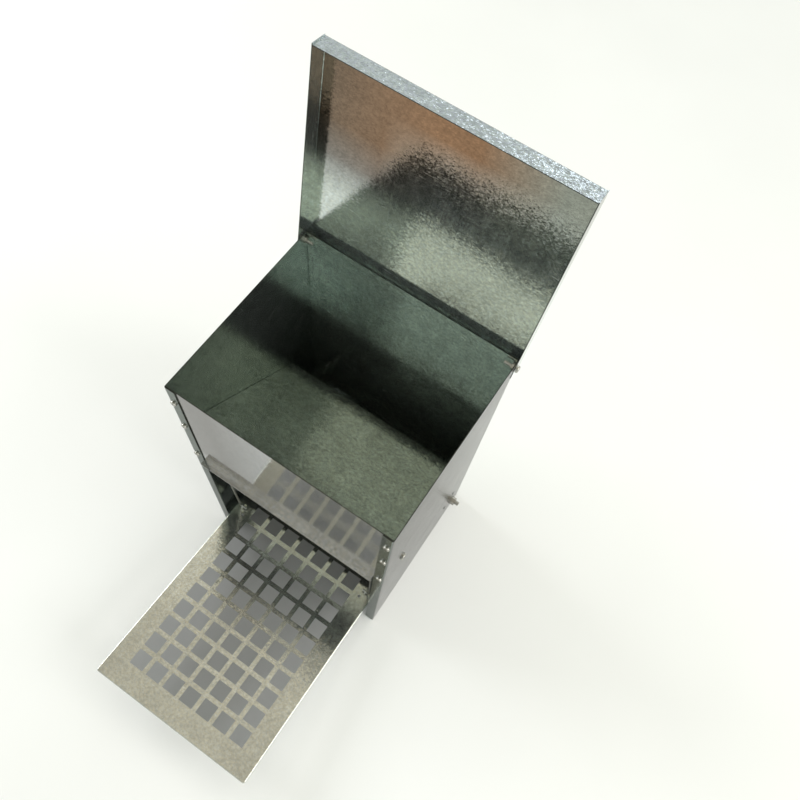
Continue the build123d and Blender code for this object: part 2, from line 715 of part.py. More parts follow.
# ---- front panel screws and nuts, trough rivets, spot welds ------------------------------
front_head_radius = 3.5
front_head_height = 2.2
front_head_round = 1.1
front_nut_radius = 3.9
front_nut_height = 3.0
front_cross_width = 0.9
front_screw_places = [
    (side * (half_width - front_screw_inset), z) for side, word in both_sides for z in front_screw_heights
]
with BuildPart() as front_panel_screws:
    with BuildSketch(Plane.XZ.offset(-front_y)):
        with Locations(front_screw_places):
            Circle(front_head_radius)
    extrude(amount=front_head_height)
    with BuildSketch(Plane.XZ.offset(-front_y)):
        with Locations(front_screw_places):
            Circle(small_screw_radius)
    extrude(amount=-(3 * sheet + panel_play + front_nut_height + thread_end))
    fillet(front_panel_screws.edges().filter_by(GeomType.CIRCLE).group_by(Axis.Y)[0], front_head_round)
    with BuildSketch(Plane.XZ.offset(-front_y + front_head_height)):
        with Locations(front_screw_places):
            Rectangle(front_cross_length, front_cross_width)
            Rectangle(front_cross_width, front_cross_length)
    extrude(amount=-front_head_height / 2, mode=Mode.SUBTRACT)
front_panel_screws.part.label = "front_panel_screws"
export_step(front_panel_screws.part, "parts/front_panel_screws.step")

with BuildPart() as front_panel_nuts:
    for x, z in front_screw_places:
        seat_y = front_inner_y + (sheet if z == front_screw_heights[1] else 0)
        with BuildSketch(Plane.XZ.offset(-seat_y)):
            with Locations((x, z)):
                RegularPolygon(front_nut_radius, 6)
                Circle(small_screw_radius + hole_play / 2, mode=Mode.SUBTRACT)
        extrude(amount=-front_nut_height)
front_panel_nuts.part.label = "front_panel_nuts"
export_step(front_panel_nuts.part, "parts/front_panel_nuts.step")

rivet_head_height = 1.0
rivet_tail_radius = 2.6
rivet_tail_length = 3.0
with BuildPart() as trough_rivets:
    trough_places = [(middle_y + y, z) for y, z in trough_rivet_spots]
    for side, word in both_sides:
        with BuildSketch(Plane.YZ.offset(side * half_width)):
            with Locations(trough_places):
                Circle(rivet_tail_radius)
        extrude(amount=side * rivet_head_height)
        with BuildSketch(Plane.YZ.offset(side * half_width)):
            with Locations(trough_places):
                Circle(small_screw_radius)
        extrude(amount=-side * (2 * sheet + panel_play + rivet_tail_length / 2))
trough_rivets.part.label = "trough_rivets"
export_step(trough_rivets.part, "parts/trough_rivets.step")

# Each spot weld is a disc that fills the play between two sheets.
with BuildPart() as back_panel_welds:
    with BuildSketch(Plane.XZ.offset(sheet - back_y)):
        for side, word in both_sides:
            with Locations([(side * (half_width - front_screw_inset), z) for z in back_weld_heights]):
                Circle(weld_radius)
    extrude(amount=panel_play)
back_panel_welds.part.label = "back_panel_welds"
export_step(back_panel_welds.part, "parts/back_panel_welds.step")

with BuildPart() as slope_panel_welds:
    for side, word in both_sides:
        with BuildSketch(Plane.YZ.offset(side * panel_half)):
            for along in slope_weld_places:
                weld_z = slope_top_height - along * slope_rise - slope_tab / 2
                with Locations((slope_head_y + along * slope_run, weld_z)):
                    Circle(weld_radius)
        extrude(amount=side * panel_play)
slope_panel_welds.part.label = "slope_panel_welds"
export_step(slope_panel_welds.part, "parts/slope_panel_welds.step")
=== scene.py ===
"""Looks of the treadle feeder: spangled galvanised sheet, zinc-plated fasteners, coiled springs.

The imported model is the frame.  Metres; -Y is the front, +X is to the right seen from the front,
+Z is up and the floor is at z = 0.
"""

import json
import math

import bpy
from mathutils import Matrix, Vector


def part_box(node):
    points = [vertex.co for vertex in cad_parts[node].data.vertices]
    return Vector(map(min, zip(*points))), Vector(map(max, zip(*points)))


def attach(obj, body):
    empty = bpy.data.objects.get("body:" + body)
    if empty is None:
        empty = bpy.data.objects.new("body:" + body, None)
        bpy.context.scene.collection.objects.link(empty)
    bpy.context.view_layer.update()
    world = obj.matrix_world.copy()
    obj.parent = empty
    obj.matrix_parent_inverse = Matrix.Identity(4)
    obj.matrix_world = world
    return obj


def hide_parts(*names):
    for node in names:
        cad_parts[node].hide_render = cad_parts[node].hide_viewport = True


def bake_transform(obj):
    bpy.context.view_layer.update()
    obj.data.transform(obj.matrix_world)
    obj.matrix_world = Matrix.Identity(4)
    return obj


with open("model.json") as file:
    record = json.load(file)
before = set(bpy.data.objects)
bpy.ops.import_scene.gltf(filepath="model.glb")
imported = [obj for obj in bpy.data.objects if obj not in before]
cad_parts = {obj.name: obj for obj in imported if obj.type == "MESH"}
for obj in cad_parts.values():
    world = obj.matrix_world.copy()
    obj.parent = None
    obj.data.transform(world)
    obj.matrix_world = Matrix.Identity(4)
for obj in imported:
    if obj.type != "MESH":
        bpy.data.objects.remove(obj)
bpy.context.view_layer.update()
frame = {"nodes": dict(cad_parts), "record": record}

MM = 0.001
SIDES = (("left", -1), ("right", 1))

# ---- places in the frame -----------------------------------------------------------------


def middle_of(node):
    """The middle of a CAD node's box."""
    low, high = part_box(node)
    return (low + high) / 2


def joint(name):
    """A joint of the record."""
    return next(item for item in frame["record"]["behaviour"]["joints"] if item["name"] == name)


def joint_place(name):
    """The point that a joint turns about."""
    return Vector(joint(name)["pos_m"])


def joint_range(name):
    """A joint's lowest and highest angle, in degrees."""
    return joint(name)["range_deg"]


BODY_MIDDLE_Y = middle_of("left_side_panel").y
BODY_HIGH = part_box("right_side_panel")[1]
BODY_OUT = BODY_HIGH.x

# ---- textures ----------------------------------------------------------------------------

CRYSTAL = 1.2 * MM
CRYSTAL_STRETCH = (0.6, 1.0, 1.0)
CRYSTAL_RAGGED = 1.2 * MM
CRYSTAL_WARP_SHARE = 0.8
FINE_CRYSTAL = 0.4 * CRYSTAL
FINE_RAGGED = 0.5 * MM
FINE_CONTRAST = 0.5
FINE_TILT = 0.8
CLOUD = 75 * MM
CLOUD_LIGHT = 1.04
BLOTCH = 16 * MM
GRAIN = 4 * MM
GRAIN_CONTRAST = 2
ROLLING = 2.2 * MM
ROLLING_STRETCH = (1.0, 0.04, 0.04)
SCRATCH = 0.9 * MM
SCRATCH_STRETCH = (0.03, 0.8, 1.0)
SCRATCH_PATCH = 34 * MM
SCRATCH_LEVEL = 0.71
SCRATCH_PATCH_FADE = (0.55, 0.62)
SHEET_BUMP = 0.08 * MM
SHEET_BUMP_STRENGTH = 0.12
BLOTCH_BUMP = 0.5
TOOL_MARK = 0.5 * MM
TOOL_PATCH = 5 * MM
TOOL_BUMP = 0.04 * MM
TOOL_BUMP_STRENGTH = 0.2

# What each pattern does to the roughness: a factor for a crystal, and something added by the others.
SMOOTH_CRYSTAL = 0.75
ROUGH_CRYSTAL = 1.25
BLOTCH_ROUGHNESS = (-0.02, 0.03)
ROLLING_ROUGHNESS = (-0.02, 0.02)
SCRATCH_ROUGHNESS = 0.15
TOOL_ROUGHNESS = (-0.06, 0.08)

# Noise hardly ever leaves these bands, so they are what is stretched to a full range.
MOST_NOISE = (0.3, 0.7)
MIDDLE_NOISE = (0.35, 0.65)

# The mean of a random colour, taken away so that it points any way.
MIDDLE_GREY = (0.5, 0.5, 0.5)

# ---- colours and masks -------------------------------------------------------------------

ZINC = (0.62, 0.68, 0.65)
WARM_CRYSTAL = (1.03, 1.0, 0.95)
COOL_CRYSTAL = (0.98, 1.0, 1.05)
DULL_PATCH = (0.72, 0.72, 0.72)
BRIGHT_PATCH = (1.1, 1.1, 1.1)

# Cut edges of sheet: their colour, how deep the rim's go, and how far up a face that looks up points.
CUT_EDGE = (0.06, 0.065, 0.06, 1.0)
RIM_DEPTH = 0.3 * MM
UPWARD = 0.9

# The inner face of a side panel, and the depth under its outer face where its tint comes in.
INNER_SIDE_TINT = (0.48, 0.53, 0.50, 1.0)
INNER_SIDE_DEPTH = (0.3 * MM, 0.5 * MM)

# The painted shade on the front panel: shares of half the body's width, and heights over its foot.
PAINTED_FRONT_SHADE = (0.31, 0.30, 0.295, 1.0)
PAINTED_FRONT_SHADE_ACROSS = (-0.02, -0.62)
PAINTED_FRONT_SHADE_HEIGHT = (6 * MM, 30 * MM)

# Depths in the lid's pan, counted from the hinge: just short of the flanges' cut edges, and the
# middle of the plate's thickness.
LID_EDGE_DEPTH = 7.9 * MM
LID_PLATE_DEPTH = -11.0 * MM

# The lid's flanges: how far in the left one reaches, which is kept free of the painted reflection, and the
# bluer tint of the free end's.
LID_FLANGE_FADE = (1.3 * MM, 1.0 * MM)
LID_TOP_FLANGE = (0.50, 0.55, 0.59, 1.0)

# The painted reflection inside the lid, and where each part of it fades in: shares of the open lid's width or
# height.
PAINTED_REFLECTION_LEFT = (0.17, 0.125, 0.09, 1.0)
PAINTED_REFLECTION_MIDDLE = (0.29, 0.17, 0.10, 1.0)
PAINTED_REFLECTION_RIGHT = (0.30, 0.32, 0.28, 1.0)
PAINTED_REFLECTION_NEAR = (0.24, 0.24, 0.23, 1.0)
PAINTED_REFLECTION_FAR_END = (0.54, 0.84)
PAINTED_REFLECTION_LEFT_SIDE = (0.50, 0.26)
PAINTED_REFLECTION_LEFT_HEIGHT = (0.32, 0.52)
PAINTED_REFLECTION_TO_MIDDLE = (0.05, 0.45)
PAINTED_REFLECTION_TO_RIGHT = (0.60, 0.90)
PAINTED_REFLECTION_TO_NEAR = (0.68, 0.45)

# The floor, and its painted shadow under the treadle: how far in from the treadle's box each side starts.
FLOOR_SIZE = 30
FLOOR_MOTTLE = 0.6
FLOOR_DARKER = 0.86
FLOOR_LIGHTER = 0.9
FLOOR_SHADED = 0.34
SHADE_LEFT_IN = -10 * MM
SHADE_RIGHT_IN = 6 * MM
SHADE_BACK_IN = -10 * MM
SHADE_SOFT = 20 * MM
SHADE_BACK_SOFT = 30 * MM

# The sky by direction: its colours, and the heights and depths over which they change.
HORIZON = (0.85, 0.86, 0.86, 1.0)
FRONT_SKY = (0.46, 0.52, 0.48, 1.0)
BACK_SKY = (0.76, 0.80, 0.70, 1.0)
DOME = (0.62, 0.59, 0.49, 1.0)
GLOW = (1.05, 1.02, 0.88, 1.0)
FRONT_TO_BACK = (-0.1, 0.4)
HORIZON_TO_SKY = (0.25, 0.45)
SKY_TO_DOME = (0.72, 0.9)
GLOW_HEIGHT = (0.74, 0.84)
GLOW_BACKWARD = (0.27, 0.40)
BRIGHT_RIGHT = (0.05, 0.35)
BRIGHT_HEIGHT = (0.6, 0.75)
BRIGHT_RIGHT_TIMES = 1.45

# The small light in front of the feeder stands this far from its middle.
WINDOW_DISTANCE = 2.4

# The camera: its place from the middle of the body's floor, and its turn in degrees.
CAMERA_LENS = 34.525
CAMERA_SENSOR = 36.0
CAMERA_RIGHT = 0.184974
CAMERA_FORWARD = 0.274477
CAMERA_HEIGHT = 1.099824
CAMERA_TURN = (24.571, -4.303, 33.663)

# ---- springs and threads: sizes, points in a turn, and how they start and end ------------

SPRING_WIRE = 0.6 * MM
SPRING_PITCH = 1.27 * MM
SPRING_POINTS = 14
SPRING_GROWTH = 3
SPRING_LOOP_GAP = 40
SPRING_LOOP_STEPS = 18

THREAD_PITCH = 1.0 * MM
THREAD_POINTS = 20
THREAD_RIDGE_SHARE = 0.2
THREAD_GROWTH = 1.5
THREAD_SUNK_AT_ENDS = 0.9
THREAD_RISE = 0.55
THREAD_PROUD = 0.1 * MM
THREAD_FROM_ROD_END = 0.8 * MM
THREAD_INSIDE_NUT = 0.5 * MM

# ---- shader helpers ----------------------------------------------------------------------


def new_material(name):
    """An empty node material: the material, its node tree and its output node."""
    material = bpy.data.materials.new(name)
    material.use_nodes = True
    tree = material.node_tree
    tree.nodes.clear()
    output = tree.nodes.new("ShaderNodeOutputMaterial")
    return material, tree, output


def add_node(tree, kind, settings=None, **inputs):
    """Adds a shader node.

    An input is named by its socket, or by its number after a line such as _0, and is given a value
    or another node's output socket.
    """
    node = tree.nodes.new("ShaderNode" + kind)
    for name, value in (settings or {}).items():
        setattr(node, name, value)
    for name, value in inputs.items():
        socket = node.inputs[int(name[1:])] if name[1:].isdigit() else node.inputs[name.replace("_", " ")]
        if isinstance(value, bpy.types.NodeSocket):
            tree.links.new(value, socket)
        else:
            socket.default_value = value
    return node


def object_coordinates(tree):
    """Position on the object, in metres, which moves with the piece."""
    return add_node(tree, "TexCoord").outputs["Object"]


def math_node(tree, operation, first, second):
    """A sum, product or comparison of two values."""
    return add_node(tree, "Math", {"operation": operation}, _0=first, _1=second).outputs[0]


def product(tree, first, *others):
    """Several values multiplied."""
    for other in others:
        first = math_node(tree, "MULTIPLY", first, other)
    return first


def total(tree, first, *others):
    """Several values added."""
    for other in others:
        first = math_node(tree, "ADD", first, other)
    return first


def inverse(tree, value):
    """One minus the value."""
    return math_node(tree, "SUBTRACT", 1.0, value)


def vector_node(tree, operation, first, second):
    """A sum, difference or product of two vectors."""
    return add_node(tree, "VectorMath", {"operation": operation}, _0=first, _1=second).outputs[0]


def normalised(tree, vector):
    """The vector with a length of one."""
    return add_node(tree, "VectorMath", {"operation": "NORMALIZE"}, _0=vector).outputs[0]


def scaled(tree, vector, amount):
    """The vector times a value."""
    return add_node(tree, "VectorMath", {"operation": "SCALE"}, _0=vector, Scale=amount).outputs[0]


def off_grey(tree, colour):
    """A colour as a vector about zero."""
    return vector_node(tree, "SUBTRACT", colour, MIDDLE_GREY)


def mapped(tree, value, band, to_low, to_high):
    """Maps a band of values to another range, clamped."""
    low, high = band
    ends = {"From_Min": low, "From_Max": high, "To_Min": to_low, "To_Max": to_high}
    return add_node(tree, "MapRange", None, Value=value, **ends).outputs["Result"]


def fade(tree, value, band):
    """0 at the band's first end and 1 at its second, clamped."""
    return mapped(tree, value, band, 0, 1)


def mixed(tree, factor, first, second):
    """Mixes two colours."""
    node = add_node(tree, "Mix", {"data_type": "RGBA"}, _0=factor, _6=first, _7=second)
    return node.outputs[2]


def noise_node(tree, coordinates, size, detail, roughness):
    """Smooth noise whose lumps are about that many metres across."""
    settings = {"Scale": 1 / size, "Detail": detail, "Roughness": roughness}
    return add_node(tree, "TexNoise", None, Vector=coordinates, **settings)


def noise(tree, coordinates, size, detail=3.0, roughness=0.55):
    """Noise as a value."""
    return noise_node(tree, coordinates, size, detail, roughness).outputs[0]


def noise_colour(tree, coordinates, size, detail=3.0, roughness=0.55):
    """Noise as a colour."""
    return noise_node(tree, coordinates, size, detail, roughness).outputs[1]


def part_of(tree, vector, index):
    """One component of a vector."""
    return add_node(tree, "SeparateXYZ", None, Vector=vector).outputs[index]


def channel_of(tree, colour, index):
    """One channel of a colour."""
    return add_node(tree, "SeparateColor", None, Color=colour).outputs[index]


def facing_up(tree):
    """1 on faces that look along the object's +Z, else 0."""
    normal = add_node(tree, "TexCoord").outputs["Normal"]
    return math_node(tree, "GREATER_THAN", part_of(tree, normal, 2), UPWARD)


def stretched(tree, coordinates, factors):
    """Coordinates scaled along each axis, for grain and scratches that run one way."""
    return vector_node(tree, "MULTIPLY", coordinates, factors)


def grey(value):
    """A grey colour."""
    return (value, value, value, 1.0)


def tinted(tint, factors):
    """A tint with each channel multiplied, as a colour."""
    red, green, blue = (min(1.0, channel * factor) for channel, factor in zip(tint, factors))
    return (red, green, blue, 1.0)


# ---- galvanised sheet --------------------------------------------------------------------


def spangle_cells(tree, coordinates, size, ragged):
    """Zinc crystals: ragged cells with a colour of their own."""
    warp = off_grey(tree, noise_colour(tree, coordinates, size * CRYSTAL_WARP_SHARE, detail=2.0))
    place = vector_node(tree, "ADD", coordinates, scaled(tree, warp, ragged))
    settings = {"voronoi_dimensions": "3D", "feature": "F1"}
    return add_node(tree, "TexVoronoi", settings, Vector=place, Scale=1 / size).outputs["Color"]


def scratch_marks(tree, place):
    """1 on fine scratches, which come in patches, else 0."""
    lines = noise(tree, stretched(tree, place, SCRATCH_STRETCH), SCRATCH, detail=1.0)
    patch = noise(tree, place, SCRATCH_PATCH, detail=2.0)
    marks = math_node(tree, "GREATER_THAN", lines, SCRATCH_LEVEL)
    return product(tree, marks, fade(tree, patch, SCRATCH_PATCH_FADE))


def sheet_patterns(tree, place):
    """The patterns that every galvanised finish is made of, by name."""
    rolled = stretched(tree, place, CRYSTAL_STRETCH)
    return {
        "crystals": spangle_cells(tree, rolled, CRYSTAL, CRYSTAL_RAGGED),
        "fine_crystals": spangle_cells(tree, rolled, FINE_CRYSTAL, FINE_RAGGED),
        "cloud": noise(tree, place, CLOUD, detail=4.0),
        "blotch": noise(tree, place, BLOTCH, detail=5.0, roughness=0.65),
        "grain": noise(tree, place, GRAIN, roughness=0.7),
        "rolling": noise(tree, stretched(tree, place, ROLLING_STRETCH), ROLLING),
        "scratches": scratch_marks(tree, place),
    }


def sheet_shade(tree, patterns, contrast, stain, mottle, scratch):
    """How light the sheet is: crystals, clouds, blotches, grain and scratches."""
    crystal = channel_of(tree, patterns["crystals"], 0)
    fine_crystal = channel_of(tree, patterns["fine_crystals"], 0)
    fine_contrast = FINE_CONTRAST * contrast
    grain_contrast = GRAIN_CONTRAST * mottle
    return product(
        tree,
        mapped(tree, crystal, (0, 1), 1 - contrast, 1 + contrast),
        mapped(tree, fine_crystal, (0, 1), 1 - fine_contrast, 1 + fine_contrast),
        mapped(tree, patterns["cloud"], MOST_NOISE, 1 - stain, CLOUD_LIGHT),
        mapped(tree, patterns["blotch"], MIDDLE_NOISE, 1 - mottle, 1 + mottle),
        mapped(tree, patterns["grain"], MIDDLE_NOISE, 1 - grain_contrast, 1 + grain_contrast),
        mapped(tree, patterns["scratches"], (0, 1), 1, 1 - scratch),
    )


def sheet_roughness(tree, patterns, roughness):
    """How rough the sheet is, by crystal, blotch, rolling mark and scratch."""
    crystal = channel_of(tree, patterns["crystals"], 2)
    return total(
        tree,
        mapped(tree, crystal, (0, 1), roughness * SMOOTH_CRYSTAL, roughness * ROUGH_CRYSTAL),
        mapped(tree, patterns["blotch"], MIDDLE_NOISE, *BLOTCH_ROUGHNESS),
        mapped(tree, patterns["rolling"], MOST_NOISE, *ROLLING_ROUGHNESS),
        math_node(tree, "MULTIPLY", patterns["scratches"], SCRATCH_ROUGHNESS),
    )


def sheet_normal(tree, patterns, tilt, up_tilt):
    """The sheet's normal, which every crystal tips its own way, and a little bump."""
    tip = off_grey(tree, patterns["crystals"])
    fine_tip = off_grey(tree, patterns["fine_crystals"])
    tips = vector_node(tree, "ADD", scaled(tree, tip, tilt), scaled(tree, fine_tip, FINE_TILT * tilt))
    if up_tilt:
        strong = scaled(tree, vector_node(tree, "ADD", tip, fine_tip), up_tilt)
        tips = vector_node(tree, "ADD", tips, scaled(tree, strong, facing_up(tree)))
    height = total(tree, product(tree, patterns["blotch"], BLOTCH_BUMP), patterns["rolling"])
    bump = add_node(tree, "Bump", None, Strength=SHEET_BUMP_STRENGTH, Distance=SHEET_BUMP, Height=height)
    return normalised(tree, vector_node(tree, "ADD", bump.outputs[0], tips))


def galvanised(name, tint, roughness, metal=0.95, tilt=0.045, contrast=0.08, stain=0.1, mottle=0.05,
               scratch=0.0, up_tilt=0.0, glance=1.0, paint=None, cut=None):
    """Hot-dip galvanised sheet: crystals that tip the reflection, rolling marks, stains, scratches.

    paint lays a tint, a painted shade or a painted reflection over the zinc's colour, cut masks the cut
    edges, up_tilt tips the crystals more on faces that look up, and glance is the strength of the mirroring
    at a glancing angle.
    """
    material, tree, output = new_material(name)
    place = object_coordinates(tree)
    patterns = sheet_patterns(tree, place)

    warm_or_cool = channel_of(tree, patterns["crystals"], 1)
    base = mixed(tree, warm_or_cool, tinted(tint, WARM_CRYSTAL), tinted(tint, COOL_CRYSTAL))
    if paint:
        base = paint(tree, place, base)
    if cut:
        base = mixed(tree, cut(tree, place), base, CUT_EDGE)
    colour = scaled(tree, base, sheet_shade(tree, patterns, contrast, stain, mottle, scratch))

    surface = add_node(
        tree,
        "BsdfPrincipled",
        None,
        Base_Color=colour,
        Metallic=metal,
        Roughness=sheet_roughness(tree, patterns, roughness),
        Normal=sheet_normal(tree, patterns, tilt, up_tilt),
        Specular_Tint=grey(glance),
    )
    tree.links.new(surface.outputs[0], output.inputs["Surface"])
    return material


def rim_cut(tree, place):
    """1 on the hopper's rim, where the cut edges of its panels look up."""
    high = math_node(tree, "GREATER_THAN", part_of(tree, place, 2), BODY_HIGH.z - RIM_DEPTH)
    return product(tree, high, facing_up(tree))


def depth_in_lid(tree, place):
    """How far a point lies from the hinge's height, along the way that the open pan faces."""
    turn = math.radians(joint_range("lid_hinge")[1])
    out_of_lid = (0.0, -math.sin(turn), -math.cos(turn))
    from_hinge = vector_node(tree, "SUBTRACT", place, tuple(joint_place("lid_hinge")))
    depth = add_node(tree, "VectorMath", {"operation": "DOT_PRODUCT"}, _0=from_hinge, _1=out_of_lid)
    return depth.outputs["Value"]


def lid_cut(tree, place):
    """1 on the cut edges of the lid's flanges, which are farthest from its plate."""
    return math_node(tree, "GREATER_THAN", depth_in_lid(tree, place), LID_EDGE_DEPTH)


def inner_face(tree, place, base):
    """The inner face of a side panel has a lighter, greener tint than its outer face."""
    out = math_node(tree, "ABSOLUTE", part_of(tree, place, 0), 0.0)
    depth = math_node(tree, "SUBTRACT", BODY_OUT, out)
    return mixed(tree, fade(tree, depth, INNER_SIDE_DEPTH), base, INNER_SIDE_TINT)


def painted_front_shade(tree, place, base):
    """Painted shade: the front panel is darker towards its left end, above its folded lip."""
    across = [share * BODY_OUT for share in PAINTED_FRONT_SHADE_ACROSS]
    left = fade(tree, part_of(tree, place, 0), across)
    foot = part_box("front_panel")[0].z
    above = fade(tree, part_of(tree, place, 2), [foot + height for height in PAINTED_FRONT_SHADE_HEIGHT])
    return mixed(tree, product(tree, left, above), base, PAINTED_FRONT_SHADE)


def painted_reflection_mask(tree, place, across, up):
    """1 where the inside of the lid's plate gets the painted reflection: its far end and its left side."""
    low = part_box("lid")[0]
    far = fade(tree, up, PAINTED_REFLECTION_FAR_END)
    left = product(tree, fade(tree, across, PAINTED_REFLECTION_LEFT_SIDE), fade(tree, up, PAINTED_REFLECTION_LEFT_HEIGHT))
    reflecting = inverse(tree, product(tree, inverse(tree, far), inverse(tree, left)))
    flange = fade(tree, part_of(tree, place, 0), [low.x + distance for distance in LID_FLANGE_FADE])
    unpainted = math_node(tree, "MAXIMUM", flange, facing_up(tree))
    reflecting = fade(tree, math_node(tree, "SUBTRACT", reflecting, unpainted), (0, 1))
    inside = math_node(tree, "GREATER_THAN", depth_in_lid(tree, place), LID_PLATE_DEPTH)
    return product(tree, reflecting, inside)


def lid_with_painted_reflection(tree, place, base):
    """The inside of the lid has a painted reflection: brown, orange in the middle, grey on the right and low
    down.

    The flange at its free end is a little bluer than the rest.
    """
    low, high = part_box("lid")
    across = fade(tree, part_of(tree, place, 0), (low.x, high.x))
    up = fade(tree, part_of(tree, place, 2), (low.z, high.z))
    brown = mixed(tree, fade(tree, across, PAINTED_REFLECTION_TO_MIDDLE), PAINTED_REFLECTION_LEFT, PAINTED_REFLECTION_MIDDLE)
    brown = mixed(tree, fade(tree, across, PAINTED_REFLECTION_TO_RIGHT), brown, PAINTED_REFLECTION_RIGHT)
    painted_reflection = mixed(tree, fade(tree, up, PAINTED_REFLECTION_TO_NEAR), brown, PAINTED_REFLECTION_NEAR)
    base = mixed(tree, facing_up(tree), base, LID_TOP_FLANGE)
    return mixed(tree, painted_reflection_mask(tree, place, across, up), base, painted_reflection)


# ---- other finishes ----------------------------------------------------------------------


def plated(name, tint, roughness):
    """Small plated or drawn parts: fine tool marks and dull patches."""
    material, tree, output = new_material(name)
    place = object_coordinates(tree)
    marks = noise(tree, place, TOOL_MARK, detail=4.0, roughness=0.6)
    patch = noise(tree, place, TOOL_PATCH)
    dark = tinted(tint, DULL_PATCH)
    light = tinted(tint, BRIGHT_PATCH)
    bump = add_node(tree, "Bump", None, Strength=TOOL_BUMP_STRENGTH, Distance=TOOL_BUMP, Height=marks)
    surface = add_node(
        tree,
        "BsdfPrincipled",
        None,
        Base_Color=mixed(tree, fade(tree, patch, MOST_NOISE), dark, light),
        Metallic=1.0,
        Roughness=total(tree, mapped(tree, marks, MOST_NOISE, *TOOL_ROUGHNESS), roughness),
        Normal=bump.outputs[0],
    )
    tree.links.new(surface.outputs[0], output.inputs["Surface"])
    return material


def painted_treadle_shadow(tree, place):
    """1 on the floor under the treadle, with soft sides: where the painted shadow goes."""
    low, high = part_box("treadle_plate")
    x = part_of(tree, place, 0)
    y = part_of(tree, place, 1)
    left = low.x + SHADE_LEFT_IN
    right = high.x - SHADE_RIGHT_IN
    back = high.y - SHADE_BACK_IN
    return product(
        tree,
        fade(tree, x, (left, left + SHADE_SOFT)),
        fade(tree, x, (right, right - SHADE_SOFT)),
        fade(tree, y, (low.y, low.y + SHADE_SOFT)),
        fade(tree, y, (back, back - SHADE_BACK_SOFT)),
    )


def floor_finish():
    """Pale floor with a barely visible mottle and a soft painted shadow under the treadle."""
    material, tree, output = new_material("pale_floor")
    place = object_coordinates(tree)
    mottle = fade(tree, noise(tree, place, FLOOR_MOTTLE), MOST_NOISE)
    pale = mixed(tree, mottle, grey(FLOOR_DARKER), grey(FLOOR_LIGHTER))
    # painted shadow: the floor's colour is darkened under the treadle
    colour = mixed(tree, painted_treadle_shadow(tree, place), pale, grey(FLOOR_SHADED))
    surface = add_node(tree, "BsdfPrincipled", None, Base_Color=colour, Roughness=0.8, Specular_IOR_Level=0.1)
    tree.links.new(surface.outputs[0], output.inputs["Surface"])
    return material


SIDE_SHEET = galvanised(
    "galvanised_sides",
    tint=(0.46, 0.45, 0.448),
    roughness=0.12,
    tilt=0.02,
    glance=0.36,
    paint=inner_face,
    cut=rim_cut,
)
FRONT_SHEET = galvanised(
    "galvanised_front",
    tint=(0.64, 0.66, 0.67),
    roughness=0.08,
    tilt=0.012,
    contrast=0.03,
    stain=0.05,
    glance=0.7,
    # painted shade on the left end of the front panel
    paint=painted_front_shade,
    cut=rim_cut,
)
HOPPER_SHEET = galvanised(
    "galvanised_hopper",
    tint=(0.64, 0.69, 0.65),
    roughness=0.11,
    metal=0.93,
    tilt=0.04,
    contrast=0.2,
    mottle=0.09,
    scratch=0.6,
    cut=rim_cut,
)
LID_SHEET = galvanised(
    "galvanised_lid",
    tint=ZINC,
    roughness=0.13,
    metal=0.93,
    tilt=0.035,
    contrast=0.14,
    up_tilt=0.3,
    # painted reflection: brown, orange and grey colour inside the lid
    paint=lid_with_painted_reflection,
    cut=lid_cut,
)
TREADLE_SHEET = galvanised(
    "galvanised_treadle",
    tint=(0.65, 0.66, 0.61),
    roughness=0.12,
    tilt=0.05,
    contrast=0.05,
)
FLAP_SHEET = galvanised("galvanised_flap", tint=ZINC, roughness=0.13)
FASTENER = plated("zinc_plated_steel", tint=(0.46, 0.45, 0.41), roughness=0.24)
RIVET = plated("aluminium_rivet", tint=(0.58, 0.58, 0.58), roughness=0.34)
WIRE = plated("drawn_wire", tint=(0.55, 0.55, 0.53), roughness=0.25)


def finish_nodes(names, material):
    """Gives carried-over CAD nodes a material."""
    for name in names:
        for slot in frame["nodes"][name].material_slots:
            slot.material = material


def dress_sheets():
    """Sheet-metal nodes get their galvanised finishes."""
    hopper = ("back_panel", "slope_panel", "feed_trough", "back_panel_welds", "slope_panel_welds")
    finish_nodes(("left_side_panel", "right_side_panel"), SIDE_SHEET)
    finish_nodes(("front_panel",), FRONT_SHEET)
    finish_nodes(hopper, HOPPER_SHEET)
    finish_nodes(("lid",), LID_SHEET)
    finish_nodes(("treadle_plate", "treadle_ears", "link_lugs"), TREADLE_SHEET)
    finish_nodes(("feed_flap",), FLAP_SHEET)


def dress_small_parts():
    """Fasteners, rivets and wire parts get theirs by the record's slot."""
    finishes = {"zinc_fasteners": FASTENER, "aluminium_rivets": RIVET, "steel_wire": WIRE}
    for part in frame["record"]["subparts"]:
        if part["material_slot"] in finishes:
            finish_nodes((part["node"],), finishes[part["material_slot"]])


# ---- springs and threads -----------------------------------------------------------------


def tube(name, points, radius, sides, material):
    """A round wire along the points, as a mesh object."""
    curve = bpy.data.curves.new(name, "CURVE")
    curve.dimensions = "3D"
    curve.bevel_depth = radius
    curve.bevel_resolution = sides
    curve.use_fill_caps = True
    spline = curve.splines.new("POLY")
    spline.points.add(len(points) - 1)
    for target, point in zip(spline.points, points):
        target.co = (*point, 1.0)
    draft = bpy.data.objects.new(name, curve)
    bpy.context.scene.collection.objects.link(draft)
    mesh = bpy.data.meshes.new_from_object(draft)
    bpy.data.objects.remove(draft)
    for polygon in mesh.polygons:
        polygon.use_smooth = True
    mesh.materials.clear()
    mesh.materials.append(material)
    piece = bpy.data.objects.new(name, mesh)
    bpy.context.scene.collection.objects.link(piece)
    return piece


def arc(centre, radius, start, stop, steps):
    """Points on a circle about X, from one angle to another; 0 degrees is +Y, 90 is +Z."""
    points = []
    for step in range(steps + 1):
        angle = math.radians(start + (stop - start) * step / steps)
        points.append(centre + Vector((0, radius * math.cos(angle), radius * math.sin(angle))))
    return points


